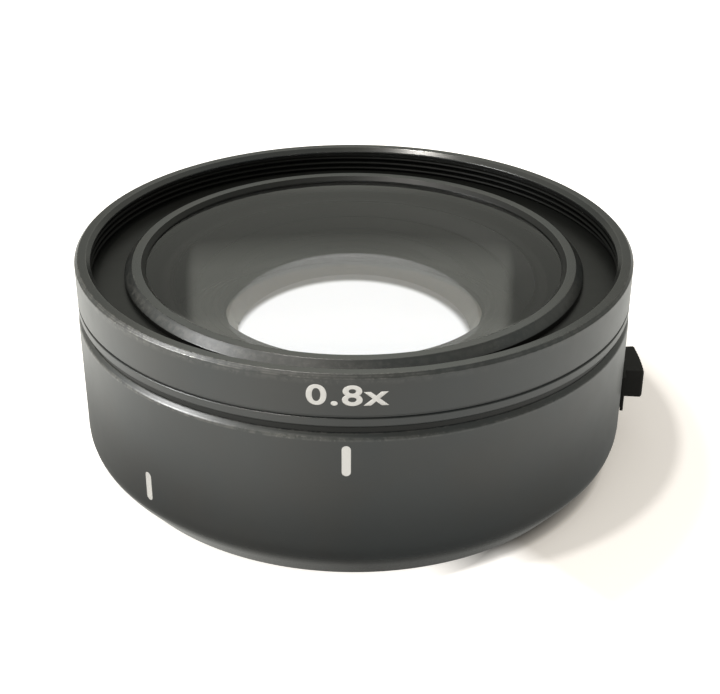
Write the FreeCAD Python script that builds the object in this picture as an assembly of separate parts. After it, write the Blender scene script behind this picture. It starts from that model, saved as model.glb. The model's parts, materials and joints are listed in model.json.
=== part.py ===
import FreeCAD, Part
import os
from math import atan2, cos, degrees, hypot, radians, sin, sqrt

# Wide-angle conversion lens that locks onto a lens front with a rear bayonet. It stands on its rear end.
# Lengths are millimetres and angles degrees. Z is the optical axis, pointing out of the front glass.
# The origin is the middle of the rear rest face. Azimuths turn about Z from +X, and the locked-position
# index mark is at azimuth 270.
V = FreeCAD.Vector
UP = V(0, 0, 1)
ORIGIN = V(0, 0, 0)

# Fits
slide_gap = 0.05          # radial clearance of a turned fit or a guided pin
free_gap = 0.1            # clearance of pieces that are only located
skirt_gap = 0.15          # release lever's skirt off the barrel

# Front barrel, outside
height = 36.4
barrel_radius = 45.0
rim_chamfer = 0.5
line_drop = 6.4           # rim down to the engraved line
line_width = 0.5
line_depth = 0.3
band_width = 1.0
band_edge = 0.3
neck_width = 1.5
neck_depth = 0.7
spigot_step = 0.85        # neck down to the spigot that enters the lower barrel
spigot_length = 6.0
spigot_wall = 1.7

# Front recess, with its filter and hood thread
rim_wall = 2.0            # rim outside the thread, whose major radius is then that of an M86 thread
mouth_chamfer = 0.15
thread_length = 2.2
relief_depth = 0.5
recess_depth = 4.6

# Front element and the ring that holds it
recess_width = 8.0        # thread in to the front element
element_edge = 10.15
element_centre = 3.2
land_width = 1.15         # flat ground rim that the ring presses
front_surface_radius = 650.0
rear_rim = 5.0            # flat rim round the hollow rear surface
ring_mouth = 0.4          # top of the ring's inner chamfer, in from the element's edge
ring_rise = 2.15
ring_outer_chamfer = 1.3
ring_lip_width = 1.1      # lip over the element's land
ring_lip_lift = 1.25      # from the recess's floor up to the element's land
ring_skirt_wall = 0.9
ring_skirt_length = 3.3
seat_width = 3.6
seat_thick = 1.5
pocket_wall = 1.5
pocket_roof = 2.2

# Baffle between the groups
baffle_height = 2.6
baffle_wall = 0.6
baffle_steps = 5
baffle_gap = 0.3
baffle_skirt = 1.5

# Rear cemented pair and its cell
group_step = 8.5          # front element's radius down to the pair's
crown_land = 1.35
crown_surface_radius = 90.0
crown_edge = 1.4
cement_sag = 3.2
flint_edge = 5.2
cell_wall = 3.3
cell_neck = 1.0           # how far the tube thins above its flange
cell_lip_thick = 1.8
cell_lip_width = 1.3
cell_flange_width = 4.1
cell_flange_thick = 1.8
cell_overhang = 0.4       # cell's end above the underside of the barrel's web
rear_ring_thick = 8.0     # reaches below the cell and shades the pair
rear_ring_width = 4.3
rear_ring_flare = 2.4     # its bore widens by this towards the glass
rear_ring_lip = 0.6       # straight edge at its lower end
spanner_slot_width = 1.6
spanner_slot_depth = 1.0

# Lower barrel
lower_step = 0.1          # lower barrel proud of the front barrel
lower_wall = 2.6
shoulder_chamfer = 0.75
base_chamfer = 4.5
base_land = 0.75          # width of the face that the lens stands on
web_thick = 2.0
mark_width = 1.3
mark_length = 5.0
mark_depth = 0.15
lock_mark = (270.0, 22.75)     # azimuth and height of the middle
mount_mark = (228.0, 10.25)

# Rear bayonet
bayonet_inset = 8.6       # lower barrel's outside in to the bayonet's bore
lug_overlap = 1.4
bayonet_thick = 2.2
channel_height = 3.6
entry_gaps = 3
entry_angle = 28.0
entry_first = 100.0
stop_pin_radius = 0.7
stop_pin_reach = 1.8

# Screws: head radius, head height, shank radius, shank length
bayonet_screw = (0.95, 0.55, 0.5, 4.2)
cell_screw = (1.5, 0.8, 0.7, 2.6)
lever_screw = (1.3, 0.8, 0.6, 6.6)
bracket_screw = (1.2, 0.7, 0.5, 2.4)
screw_slot = 0.3
screw_gap = 0.05
head_gap = 0.1

# Release lever
lever_azimuth = 2.0
lever_travel = 6.0
knob_reach = 4.0          # knob's outer face off the barrel
knob_span = 10.4
knob_bottom = 9.1
knob_height = 5.0
knob_round = 0.45
rib_count = 8
rib_pitch = 1.15
rib_groove = 0.34
skirt_span = 21.0
skirt_thick = 0.5
skirt_below = 0.4
skirt_above = 0.9
stem_span = 3.4
stem_height = 2.6
slot_gap = 0.2
slot_end_gap = 0.5

# Slider inside the barrel, and the lock pin it lifts
slider_width = 3.5
slider_block = 8.0        # angle of the tall part that carries the lever
slider_tail = 14.6        # angle from the lever to the ramp's end
slider_high = 2.9
slider_low = 0.9
pin_azimuth_offset = -6.0
pin_lift = 2.0
pin_radius = 0.8
pin_stem_radius = 1.0
pin_collar = 1.8
pin_arm_thick = 1.5
pin_arm_width = 1.6
pin_reach = 1.6           # pin below the web
pin_inset = 1.0           # pin's axis inside the channel wall
arm_gap = 0.15
spring_share = 0.443      # of the room over the lock pin's arm that the spring fills
spring_radius = 1.5
spring_wire = 0.18
spring_turns = 5
spring_facets = 12        # straight stretches of wire in each turn
bracket_thick = 0.9
bracket_inset = 2.1       # its inner side, from the pin's axis
bracket_gap = 0.25        # its outer corners off the slider
bracket_leg = 4.4
bracket_foot = 4.6

# Heights worked out from the sizes above
line_top = height - line_drop
band_top = line_top - line_width
neck_top = band_top - band_width
joint_z = neck_top - neck_width
spigot_end = joint_z - spigot_length
floor_z = height - recess_depth
land_z = floor_z + ring_lip_lift
seat_z = land_z - element_edge
seat_under = seat_z - seat_thick
cell_top = seat_z - baffle_gap - baffle_height
crown_land_z = cell_top - cell_lip_thick
cement_edge_z = crown_land_z - crown_edge
flint_z = cement_edge_z - flint_edge
rear_ring_z = flint_z - rear_ring_thick
bayonet_top = bayonet_thick
web_under = bayonet_top + channel_height
web_top = web_under + web_thick
cell_end = web_under + cell_overhang

# Radii worked out from the sizes above
thread_radius = barrel_radius - rim_wall
element_radius = thread_radius - recess_width
rear_clear = element_radius - rear_rim
ring_top_inner = element_radius - ring_mouth
ring_lip = element_radius - ring_lip_width
pair_radius = element_radius - group_step
cell_lip_inner = pair_radius - cell_lip_width
rear_ring_inner = pair_radius - rear_ring_width
lower_radius = barrel_radius + lower_step
bayonet_bore = lower_radius - bayonet_inset
knob_radius = lower_radius + knob_reach
relief_radius = thread_radius + relief_depth
neck_radius = barrel_radius - neck_depth
spigot_radius = neck_radius - spigot_step
skirt_bore = element_radius + slide_gap
ring_bore = skirt_bore + free_gap + ring_skirt_wall
ring_top_outer = ring_bore
pocket_inner = ring_bore + pocket_wall
pocket_outer = spigot_radius - spigot_wall
seat_inner = element_radius - seat_width
lower_bore = spigot_radius + slide_gap
lower_inner = lower_radius - lower_wall
base_radius = lower_radius - base_chamfer
bayonet_seat = base_radius - base_land
bayonet_outer = bayonet_seat - slide_gap
channel_radius = bayonet_bore + lug_overlap
bayonet_screw_circle = (channel_radius + bayonet_seat) / 2
cell_bore = pair_radius + slide_gap
cell_radius = cell_bore + cell_wall
web_bore = cell_radius + free_gap
cell_flange_radius = cell_radius + cell_flange_width
cell_screw_circle = (web_bore + cell_flange_radius) / 2
cell_tube_radius = cell_radius - cell_neck
slider_outer = lower_inner - free_gap
slider_inner = slider_outer - slider_width
pin_circle = channel_radius - pin_inset

# Heights of the release gear
knob_middle = knob_bottom + knob_height / 2
slider_floor = web_top + free_gap
ramp_low = slider_floor + slider_low
slider_top = slider_floor + slider_high
arm_z = ramp_low + arm_gap
arm_top = arm_z + pin_arm_thick
spring_length = spring_share * (seat_under - arm_top)
bracket_under = arm_top + spring_length
pin_azimuth = lever_azimuth + pin_azimuth_offset

os.makedirs("parts", exist_ok=True)


def save(name, shape):
    """One closed solid to its own file, its name being the piece's name."""
    solid = shape.Solids[0] if len(shape.Solids) == 1 else shape
    solid.exportStep("parts/" + name + ".step")


def polar(radius, azimuth, z=0.0):
    return V(radius * cos(radians(azimuth)), radius * sin(radians(azimuth)), z)


def turned(corners):
    """A ring turned from a closed outline of radius and height corners."""
    points = [V(r, 0, z) for r, z in corners]
    return Part.Face(Part.makePolygon(points + points[:1])).revolve(ORIGIN, UP, 360)


def sector(inner, outer, start, end, low, high):
    """A block bounded by two radii, two azimuths and two heights."""
    corners = [V(inner, 0, low), V(outer, 0, low), V(outer, 0, high), V(inner, 0, high)]
    block = Part.Face(Part.makePolygon(corners + corners[:1])).revolve(ORIGIN, UP, end - start)
    block.rotate(ORIGIN, UP, start)
    return block


def rod(radius, low, high, at=ORIGIN):
    return Part.makeCylinder(radius, high - low, V(at.x, at.y, low))


def dome(rim, rim_z, apex_z):
    """Half of a spherical cap's outline, from its rim to its apex on the axis."""
    sag = apex_z - rim_z
    curve = (rim * rim + sag * sag) / (2 * sag)
    middle = apex_z - curve + sqrt(curve * curve - rim * rim / 4) * (1 if curve > 0 else -1)
    return Part.Arc(V(rim, 0, rim_z), V(rim / 2, 0, middle), V(0, 0, apex_z)).toShape()


def sag_of(curve, rim):
    return curve - sqrt(curve * curve - rim * rim)


def lens(upper, lower, edge):
    """A lens turned from its two surface outlines and the corners of its edge, listed downwards."""
    points = [V(r, 0, z) for r, z in edge]
    sides = [Part.makeLine(a, b) for a, b in zip(points, points[1:])]
    axis = Part.makeLine(lower.Vertexes[-1].Point, upper.Vertexes[-1].Point)
    wire = Part.Wire(Part.__sortEdges__([upper, lower, axis] + sides))
    return Part.Face(wire).revolve(ORIGIN, UP, 360)


def screw(sizes, countersunk=False):
    """A screw that points up, with the underside of its head at height 0 and a slot across the head."""
    head, thick, shank, length = sizes
    if countersunk:
        body = turned([(0, -thick), (head, -thick), (shank, 0), (shank, length), (0, length)])
    else:
        body = turned([(0, -thick), (head, -thick), (head, 0), (shank, 0), (shank, length), (0, length)])
    slot = Part.makeBox(2 * head, screw_slot, thick / 2, V(-head, -screw_slot / 2, -thick))
    return body.cut(slot)


def placed(shape, azimuth, radius, z):
    """A copy moved out to a radius and height, then turned to an azimuth."""
    copy = shape.copy()
    copy.translate(V(radius, 0, z))
    copy.rotate(ORIGIN, UP, azimuth)
    return copy


# Azimuths of what repeats round the axis
entry_azimuths = [entry_first + i * 360 / entry_gaps for i in range(entry_gaps)]
lug_middles = [a + 180 / entry_gaps for a in entry_azimuths]
lug_screw_offset = 90 / entry_gaps
bayonet_screw_azimuths = [m + side * lug_screw_offset for m in lug_middles for side in (-1, 1)]
cell_screw_azimuths = [m + 180 / entry_gaps for m in lug_middles]
stop_azimuth = entry_azimuths[0] + entry_angle / 2 + 4


def make_front_barrel():
    body = turned([
        (thread_radius + mouth_chamfer, height),
        (barrel_radius - rim_chamfer, height),
        (barrel_radius, height - rim_chamfer),
        (barrel_radius, line_top),
        (barrel_radius - line_depth, line_top),
        (barrel_radius - line_depth, band_top),
        (barrel_radius, band_top),
        (barrel_radius, neck_top + band_edge),
        (barrel_radius - band_edge, neck_top),
        (neck_radius, neck_top),
        (neck_radius, joint_z),
        (spigot_radius, joint_z),
        (spigot_radius, spigot_end),
        (pocket_outer, spigot_end),
        (pocket_outer, floor_z - pocket_roof),
        (pocket_inner, floor_z - pocket_roof),
        (pocket_inner, seat_under),
        (seat_inner, seat_under),
        (seat_inner, seat_z),
        (skirt_bore, seat_z),
        (skirt_bore, floor_z - ring_skirt_length - free_gap),
        (ring_bore, floor_z - ring_skirt_length - free_gap),
        (ring_bore, floor_z),
        (relief_radius, floor_z),
        (relief_radius, height - mouth_chamfer - thread_length),
        (thread_radius, height - mouth_chamfer - thread_length),
        (thread_radius, height - mouth_chamfer),
    ])
    save("front_barrel", body)


def make_front_retaining_ring():
    top = floor_z + ring_rise
    inner_chamfer = ring_top_inner - ring_lip
    outer = ring_top_outer + ring_outer_chamfer
    body = turned([
        (ring_top_inner, top),
        (ring_top_outer, top),
        (outer, top - ring_outer_chamfer),
        (outer, floor_z),
        (ring_bore - slide_gap, floor_z),
        (ring_bore - slide_gap, floor_z - ring_skirt_length),
        (skirt_bore + free_gap, floor_z - ring_skirt_length),
        (skirt_bore + free_gap, land_z),
        (ring_lip, land_z),
        (ring_lip, top - inner_chamfer),
    ])
    save("front_retaining_ring", body)


def make_front_element():
    land_inner = element_radius - land_width
    apex = land_z + sag_of(front_surface_radius, land_inner)
    front = dome(land_inner, land_z, apex)
    rear = dome(rear_clear, seat_z, apex - element_centre)
    edge = [(land_inner, land_z), (element_radius, land_z), (element_radius, seat_z), (rear_clear, seat_z)]
    save("front_element", lens(front, rear, edge))


def make_baffle_ring():
    inner = cell_lip_inner + free_gap
    outer = seat_inner - 2 * free_gap
    skirt = cell_tube_radius + slide_gap
    run = (outer - inner) / baffle_steps
    rise = (baffle_height - baffle_wall) / baffle_steps
    corners = [(inner, cell_top), (inner, cell_top + baffle_wall)]
    for i in range(baffle_steps):
        low = cell_top + baffle_wall + i * rise
        corners += [(inner + (i + 0.75) * run, low), (inner + (i + 1) * run, low + rise)]
    under = cell_top + baffle_height - 2 * baffle_wall
    corners += [
        (outer, under),
        (skirt + 2 * baffle_wall, cell_top - baffle_wall),
        (skirt + 2 * baffle_wall, cell_top - baffle_skirt),
        (skirt, cell_top - baffle_skirt),
        (skirt, cell_top),
    ]
    save("baffle_ring", turned(corners))


def make_rear_pair():
    land_inner = pair_radius - crown_land
    apex = crown_land_z + sag_of(crown_surface_radius, land_inner)
    cement = dome(pair_radius, cement_edge_z, cement_edge_z - cement_sag)
    crown_sides = [(land_inner, crown_land_z), (pair_radius, crown_land_z), (pair_radius, cement_edge_z)]
    save("rear_crown_element", lens(dome(land_inner, crown_land_z, apex), cement, crown_sides))
    flat = Part.makeLine(V(pair_radius, 0, flint_z), V(0, 0, flint_z))
    save("rear_flint_element", lens(cement, flat, [(pair_radius, cement_edge_z), (pair_radius, flint_z)]))


def make_rear_cell():
    body = turned([
        (cell_lip_inner, cell_top),
        (cell_tube_radius, cell_top),
        (cell_tube_radius, web_top + cell_flange_thick),
        (cell_flange_radius, web_top + cell_flange_thick),
        (cell_flange_radius, web_top),
        (cell_radius, web_top),
        (cell_radius, cell_end),
        (cell_bore, cell_end),
        (cell_bore, crown_land_z),
        (cell_lip_inner, crown_land_z),
    ])
    shank = cell_screw[2] + screw_gap
    for azimuth in cell_screw_azimuths:
        body = body.cut(rod(shank, web_top, web_top + cell_flange_thick, polar(cell_screw_circle, azimuth)))
    save("rear_cell", body)
    ring = turned([
        (rear_ring_inner + rear_ring_flare, flint_z),
        (cell_bore - slide_gap, flint_z),
        (cell_bore - slide_gap, rear_ring_z),
        (rear_ring_inner, rear_ring_z),
        (rear_ring_inner, rear_ring_z + rear_ring_lip),
    ])
    slot = Part.makeBox(2 * cell_bore, spanner_slot_width, spanner_slot_depth,
                        V(-cell_bore, -spanner_slot_width / 2, rear_ring_z))
    save("rear_retaining_ring", ring.cut(slot))


def index_mark(azimuth, middle):
    """A round-ended pocket in the barrel's wall, as deep as the mark's engraving."""
    half = mark_length / 2 - mark_width / 2
    reach = 2.0
    base = lower_radius - mark_depth
    bar = Part.makeBox(reach, mark_width, 2 * half, V(base, -mark_width / 2, middle - half))
    for end in (middle - half, middle + half):
        bar = bar.fuse(Part.makeCylinder(mark_width / 2, reach, V(base, 0, end), V(1, 0, 0)))
    bar.rotate(ORIGIN, UP, azimuth)
    return bar


def make_lower_barrel():
    body = turned([
        (lower_bore, joint_z),
        (lower_radius - shoulder_chamfer, joint_z),
        (lower_radius, joint_z - shoulder_chamfer),
        (lower_radius, base_chamfer),
        (base_radius, 0),
        (bayonet_seat, 0),
        (bayonet_seat, bayonet_top),
        (channel_radius, bayonet_top),
        (channel_radius, web_under),
        (web_bore, web_under),
        (web_bore, web_top),
        (lower_inner, web_top),
        (lower_inner, spigot_end - free_gap),
        (lower_bore, spigot_end - free_gap),
    ])
    holes = [index_mark(*lock_mark), index_mark(*mount_mark)]
    slot_half = stem_height / 2 + slot_gap
    slot_start = lever_azimuth - stem_span / 2 - slot_end_gap
    slot_end = lever_azimuth + stem_span / 2 + lever_travel + slot_end_gap
    holes.append(sector(lower_inner - 1, lower_radius + 1, slot_start, slot_end,
                        knob_middle - slot_half, knob_middle + slot_half))
    head, thick, shank, length = cell_screw
    for azimuth in cell_screw_azimuths:
        at = polar(cell_screw_circle, azimuth)
        holes.append(rod(shank + screw_gap, web_under, web_top, at))
        holes.append(rod(head + head_gap, web_under, web_under + thick, at))
    shank, length = bayonet_screw[2:]
    for azimuth in bayonet_screw_azimuths:
        top = bayonet_screw[1] + length + head_gap
        holes.append(rod(shank + screw_gap, bayonet_top, top, polar(bayonet_screw_circle, azimuth)))
    holes.append(rod(pin_radius + slide_gap, web_under, web_top, polar(pin_circle, pin_azimuth)))
    holes.append(rod(stop_pin_radius + screw_gap, web_under, web_top, polar(pin_circle, stop_azimuth)))
    depth = bracket_screw[3] - bracket_thick
    for at in bracket_screw_points():
        holes.append(rod(bracket_screw[2] + screw_gap, web_top - depth, web_top, at))
    save("lower_barrel", body.cut(holes))


def make_bayonet():
    ring = turned([
        (bayonet_bore, 0),
        (bayonet_outer, 0),
        (bayonet_outer, bayonet_top),
        (bayonet_bore, bayonet_top),
    ])
    head, thick, shank, length = bayonet_screw
    cuts = [sector(bayonet_bore - 1, channel_radius, a - entry_angle / 2, a + entry_angle / 2, 0, bayonet_top)
            for a in entry_azimuths]
    sink = turned([(0, -thick), (head + screw_gap, -thick), (shank + screw_gap, 0),
                   (shank + screw_gap, bayonet_thick), (0, bayonet_thick)])
    fastener = screw(bayonet_screw, countersunk=True)
    for i, azimuth in enumerate(bayonet_screw_azimuths, 1):
        cuts.append(placed(sink, azimuth, bayonet_screw_circle, thick))
        save(f"bayonet_screw_{i}", placed(fastener, azimuth, bayonet_screw_circle, thick))
    save("bayonet_ring", ring.cut(cuts))
    at = polar(pin_circle, stop_azimuth)
    save("stop_pin", rod(stop_pin_radius, web_under - stop_pin_reach, web_top, at))


def make_cell_screws():
    fastener = screw(cell_screw)
    for i, azimuth in enumerate(cell_screw_azimuths, 1):
        save(f"cell_screw_{i}", placed(fastener, azimuth, cell_screw_circle, web_under + cell_screw[1]))


def radial_hole(radius, start, end):
    return Part.makeCylinder(radius, end - start, polar(start, lever_azimuth, knob_middle),
                             polar(1, lever_azimuth))


def make_release_lever():
    skirt_inner = lower_radius + skirt_gap
    skirt_outer = skirt_inner + skirt_thick
    half = knob_span / 2
    knob_top = knob_bottom + knob_height
    knob = sector(skirt_outer, knob_radius, lever_azimuth - half, lever_azimuth + half, knob_bottom, knob_top)
    outer_edges = [e for e in knob.Edges
                   if all(abs(hypot(v.X, v.Y) - knob_radius) < 0.01 for v in e.Vertexes)]
    knob = knob.makeFillet(knob_round, outer_edges)
    grooves = []
    for i in range(rib_count):
        azimuth = lever_azimuth + (i - (rib_count - 1) / 2) * rib_pitch
        grooves.append(rod(rib_groove, knob_bottom - 1, knob_top + 1, polar(knob_radius, azimuth)))
    knob = knob.cut(grooves)
    skirt = sector(skirt_inner, skirt_outer, lever_azimuth - skirt_span / 2, lever_azimuth + skirt_span / 2,
                   knob_bottom - skirt_below, knob_top + skirt_above)
    stem = sector(slider_outer, skirt_outer, lever_azimuth - stem_span / 2, lever_azimuth + stem_span / 2,
                  knob_middle - stem_height / 2, knob_middle + stem_height / 2)
    body = knob.fuse([skirt, stem]).removeSplitter()
    reach = slider_inner + lever_screw[1] + head_gap + lever_screw[3] + head_gap
    save("release_lever", body.cut(radial_hole(lever_screw[2] + screw_gap, slider_outer - 1, reach)))


def ramp_cut():
    """What is cut off the slider's tail, leaving a ramp that climbs by the pin's lift away from the lever."""
    foot = degrees(pin_arm_width / 2 / slider_inner) + 0.2
    middle = pin_azimuth - foot - lever_travel / 2
    half = (slider_inner + slider_outer) / 2 * sin(radians(lever_travel / 2))
    reach = 4 * half
    corners = [(reach, ramp_low), (half, ramp_low), (-half, slider_top), (-half, knob_middle), (reach, knob_middle)]
    points = [V(slider_inner - slider_low, y, z) for y, z in corners]
    cut = Part.Face(Part.makePolygon(points + points[:1])).extrude(V(slider_width + 2 * slider_low, 0, 0))
    cut.rotate(ORIGIN, UP, middle)
    return cut


def make_slider():
    block_top = knob_middle + stem_height / 2
    block = sector(slider_inner, slider_outer, lever_azimuth - slider_block / 2,
                   lever_azimuth + slider_block / 2, slider_floor, block_top)
    tail = sector(slider_inner, slider_outer, lever_azimuth - slider_tail, lever_azimuth,
                  slider_floor, slider_top)
    body = tail.cut(ramp_cut()).fuse(block).removeSplitter()
    head, thick, shank, length = lever_screw
    seat = slider_inner + thick + head_gap
    body = body.cut([radial_hole(head + head_gap, slider_inner - 1, seat),
                     radial_hole(shank + screw_gap, slider_inner - 1, slider_outer + 1)])
    save("lever_slider", body)
    fastener = screw(lever_screw)
    fastener.rotate(ORIGIN, V(0, 1, 0), 90)
    fastener.translate(V(seat, 0, knob_middle))
    fastener.rotate(ORIGIN, UP, lever_azimuth)
    save("lever_screw", fastener)


def make_lock_pin():
    at = polar(pin_circle, 0)
    pin = rod(pin_radius, web_under - pin_reach, arm_top, at)
    stem = rod(pin_stem_radius, arm_top, bracket_under + bracket_thick + 0.4, at)
    collar = rod(pin_collar, arm_z, arm_top, at)
    arm = Part.makeBox(slider_outer - 0.8 - pin_circle, pin_arm_width, pin_arm_thick,
                       V(pin_circle, -pin_arm_width / 2, arm_z))
    body = pin.fuse([stem, collar, arm]).removeSplitter()
    body.rotate(ORIGIN, UP, pin_azimuth)
    save("lock_pin", body)


def make_pin_spring():
    """The coil round the pin's stem, of six-sided wire."""
    steps = spring_turns * spring_facets
    rise = (spring_length - 2 * spring_wire) / steps
    centre = polar(pin_circle, pin_azimuth, arm_top + spring_wire)
    sections = []
    for i in range(steps + 1):
        around = [polar(spring_radius + spring_wire * cos(radians(60 * k)), 360 * i / spring_facets,
                        i * rise + spring_wire * sin(radians(60 * k))) for k in range(6)]
        sections.append([centre + point for point in around])
    faces = [Part.Face(Part.makePolygon(end + end[:1])) for end in (sections[0], sections[-1])]
    for low, high in zip(sections, sections[1:]):
        for k in range(6):
            a, b, c, d = low[k - 1], low[k], high[k], high[k - 1]
            faces.append(Part.Face(Part.makePolygon([a, b, c, a])))
            faces.append(Part.Face(Part.makePolygon([a, c, d, a])))
    coil = Part.makeSolid(Part.makeShell(faces))
    if coil.Volume < 0:
        coil.reverse()
    save("pin_spring", coil)


def bracket_reach(side_offset):
    """How far out the bracket may go at a sideways offset, clear of the slider."""
    return sqrt((slider_inner - bracket_gap) ** 2 - side_offset ** 2)


def bracket_screw_points():
    """The middles of the bracket's two feet, either side of the lock pin."""
    offset = bracket_leg + bracket_foot / 2
    middle = (pin_circle - bracket_inset + bracket_reach(bracket_leg + bracket_foot)) / 2
    angle = degrees(atan2(offset, middle))
    return [polar(hypot(offset, middle), pin_azimuth + side * angle) for side in (-1, 1)]


def make_pin_bracket():
    inner = pin_circle - bracket_inset
    width = bracket_reach(bracket_leg) - inner
    foot_width = bracket_reach(bracket_leg + bracket_foot) - inner
    bracket_top = bracket_under + bracket_thick
    body = Part.makeBox(width, 2 * bracket_leg, bracket_thick, V(inner, -bracket_leg, bracket_under))
    for side in (-1, 1):
        leg_y = bracket_leg - bracket_thick if side > 0 else -bracket_leg
        foot_y = bracket_leg - bracket_thick if side > 0 else -bracket_leg - bracket_foot
        leg = Part.makeBox(width, bracket_thick, bracket_top - web_top, V(inner, leg_y, web_top))
        foot = Part.makeBox(foot_width, bracket_foot + bracket_thick, bracket_thick,
                            V(inner, foot_y, web_top))
        body = body.fuse([leg, foot])
    body = body.removeSplitter()
    body = body.cut(rod(pin_stem_radius + slide_gap, bracket_under, bracket_top, V(pin_circle, 0, 0)))
    body.rotate(ORIGIN, UP, pin_azimuth)
    fastener = screw(bracket_screw)
    fastener.rotate(ORIGIN, V(1, 0, 0), 180)
    for i, at in enumerate(bracket_screw_points(), 1):
        body = body.cut(rod(bracket_screw[2] + screw_gap, web_top, web_top + bracket_thick, at))
        copy = fastener.copy()
        copy.translate(V(at.x, at.y, web_top + bracket_thick))
        save(f"bracket_screw_{i}", copy)
    save("pin_bracket", body)


make_front_barrel()
make_front_retaining_ring()
make_front_element()
make_baffle_ring()
make_rear_pair()
make_rear_cell()
make_lower_barrel()
make_bayonet()
make_cell_screws()
make_release_lever()
make_slider()
make_lock_pin()
make_pin_spring()
make_pin_bracket()
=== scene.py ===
import json
import math

import bmesh
import bpy
from bpy.props import FloatProperty, FloatVectorProperty, IntProperty, PointerProperty, StringProperty
from mathutils import Matrix, Vector

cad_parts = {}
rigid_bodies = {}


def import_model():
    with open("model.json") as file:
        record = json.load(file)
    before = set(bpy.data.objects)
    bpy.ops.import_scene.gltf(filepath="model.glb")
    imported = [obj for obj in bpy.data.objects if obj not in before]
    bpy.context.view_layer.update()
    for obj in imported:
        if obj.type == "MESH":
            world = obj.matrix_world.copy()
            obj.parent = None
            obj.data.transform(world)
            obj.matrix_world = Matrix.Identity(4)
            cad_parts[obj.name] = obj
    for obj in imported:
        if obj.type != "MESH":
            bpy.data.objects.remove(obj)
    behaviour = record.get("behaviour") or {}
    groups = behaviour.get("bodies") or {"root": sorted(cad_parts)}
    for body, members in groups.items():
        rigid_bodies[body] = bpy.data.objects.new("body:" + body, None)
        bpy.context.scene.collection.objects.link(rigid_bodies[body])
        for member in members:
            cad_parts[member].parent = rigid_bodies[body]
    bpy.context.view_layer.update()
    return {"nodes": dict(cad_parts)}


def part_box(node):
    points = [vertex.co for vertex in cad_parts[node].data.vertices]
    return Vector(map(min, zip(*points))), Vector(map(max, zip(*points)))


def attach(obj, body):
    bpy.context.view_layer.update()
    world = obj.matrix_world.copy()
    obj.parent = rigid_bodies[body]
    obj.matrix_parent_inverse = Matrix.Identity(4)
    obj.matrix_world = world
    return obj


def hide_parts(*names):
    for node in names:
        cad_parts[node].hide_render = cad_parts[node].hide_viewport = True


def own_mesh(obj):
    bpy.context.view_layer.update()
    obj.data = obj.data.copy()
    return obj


# Wide-angle conversion lens standing on its rear bayonet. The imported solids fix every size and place, and the
# pieces made here give them fine turned surfaces, glass, engraving, wear and a studio.
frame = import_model()
MM = 0.001
WHITE = (1.0, 1.0, 1.0, 1.0)
SHARP_EDGE = math.radians(28)

# Sizes in millimetres and angles in degrees that more than one piece follows
THREAD_BORE = 43.0
FLOOR_DEPTH = 4.6
SPIGOT_LENGTH = 6.0
WEB_THICK = 2.0
BAYONET_THICK = 2.2
BAYONET_CIRCLE = 38.875
FIRST_BAYONET_SCREW = 10
ENTRY_GAPS = (100, 220, 340)
CELL_CIRCLE = 31.95
CELL_SCREWS = (100.0, 220.0, 340.0)
INDEX_MARKS = ((270.0, 22.75), (228.0, 10.25))

# Directions and places, in metres, that the wear with its painted highlight, the table's painted shadow and light,
# and the room follow
WEAR_AND_HIGHLIGHT_SIDE = (-0.72, -0.69, 0.0)
SHADOW_SIDE = (0.99, 0.14, 0.0)
LEFT_WALL = (-0.87, -0.5, 0.0)
FRONT_LIGHT = (0.25, -0.97, 0.0)
WINDOW_CENTRE = -0.0235
DISC_CENTRE = (-0.0003, 0.0006, 0.0)
TABLE_HALF = 3.0
TABLE_REACH = 0.1

bl_info = {
    "name": "Wide conversion lens",
    "version": (1, 0, 0),
    "blender": (4, 5, 0),
    "location": "3D View > Sidebar > Lens",
    "description": "Builds a wide-angle conversion lens with a threaded front, a rear bayonet and a release lever",
    "category": "Object",
}


def linear(hex_code):
    """An sRGB hex colour as linear RGBA."""
    parts = [int(hex_code[i:i + 2], 16) / 255 for i in (0, 2, 4)]
    return tuple(c / 12.92 if c <= 0.04045 else ((c + 0.055) / 1.055) ** 2.4 for c in parts) + (1.0,)


def length(name, description, value):
    return FloatProperty(name=name, description=description, default=value * MM, unit="LENGTH", precision=5)


def angle(name, description, value):
    return FloatProperty(name=name, description=description, default=value, subtype="ANGLE")


def colour(name, description, hex_code):
    return FloatVectorProperty(name=name, description=description, default=linear(hex_code), size=4,
                               subtype="COLOR", min=0.0, max=1.0)


def top_of(node):
    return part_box(node)[1].z / MM


def reach_of(node):
    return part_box(node)[1].x / MM


def web_face():
    """Height of the web's lower face, which lies below the foot of the rear cell."""
    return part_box("rear_cell")[0].z / MM - 0.4


class LENS_PG_sizes(bpy.types.PropertyGroup):
    """Sizes of the lens that the turned pieces follow."""
    facets: IntProperty(name="Facets", description="Faces round each turned piece", default=320, min=24, max=720)
    height: length("Height", "Rear rest face to the front rim", top_of("front_barrel"))
    barrel_radius: length("Barrel radius", "Outside of the front barrel", reach_of("front_barrel"))
    lower_radius: length("Lower radius", "Outside of the lower barrel", reach_of("lower_barrel"))
    joint: length("Joint", "Height of the joint between the barrels", top_of("lower_barrel"))
    base_chamfer: length("Base chamfer", "Chamfer round the rear end", 4.5)
    edge_round: length("Edge rounding", "Rounding of the turned edges", 0.08)
    thread_pitch: length("Thread pitch", "Pitch of the front thread", 1.0)
    thread_depth: length("Thread depth", "Depth of the front thread, cut to two thirds", 0.38)
    front_curve: length("Front curve", "Radius of the front glass surface", 650.0)
    mark_width: length("Mark width", "Width of an index mark", 1.3)
    mark_length: length("Mark length", "Length of an index mark", 5.0)
    print_height: length("Print height", "Height of the printed figures", 3.25)
    print_text: StringProperty(name="Print", description="Magnification printed on the front barrel", default="0.8x")


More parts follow.
